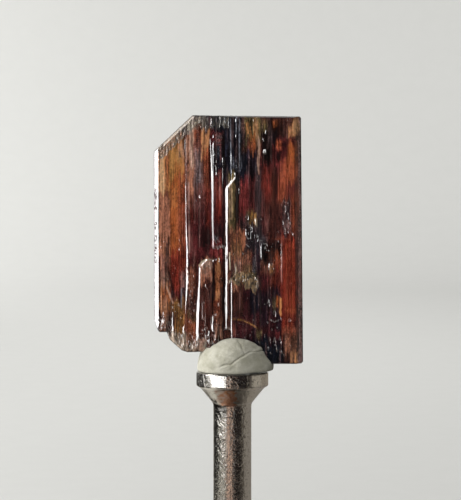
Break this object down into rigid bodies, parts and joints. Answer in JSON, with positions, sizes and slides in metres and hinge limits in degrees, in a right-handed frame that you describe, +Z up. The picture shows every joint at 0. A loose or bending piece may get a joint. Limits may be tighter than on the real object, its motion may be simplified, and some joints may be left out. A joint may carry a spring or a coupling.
{
  "type": "brookite crystal on a pin stand",
  "caption": "Tabular striated brookite crystal with a bevelled shoulder, held upright by a lump of putty on a flared metal pin with a round foot.",
  "frame": {"origin": "on the pin's axis, at the middle of the foot's underside", "axes": "+Z up along the pin and the crystal's long axis; -Y is the way the striated broad face looks; +X to the right of that face"},
  "size_m": [0.018, 0.018, 0.038],
  "materials": {
    "brookite": "glassy to adamantine, see-through red-brown with dark zones",
    "putty": "matt pressed putty",
    "nickel": "plated, polished, finely scratched",
    "satin_nickel": "satin"
  },
  "bodies": {
    "root": {"brookite_crystal": "brookite", "putty": "putty", "pin": "nickel", "foot": "satin_nickel"}
  },
  "joints": []
}
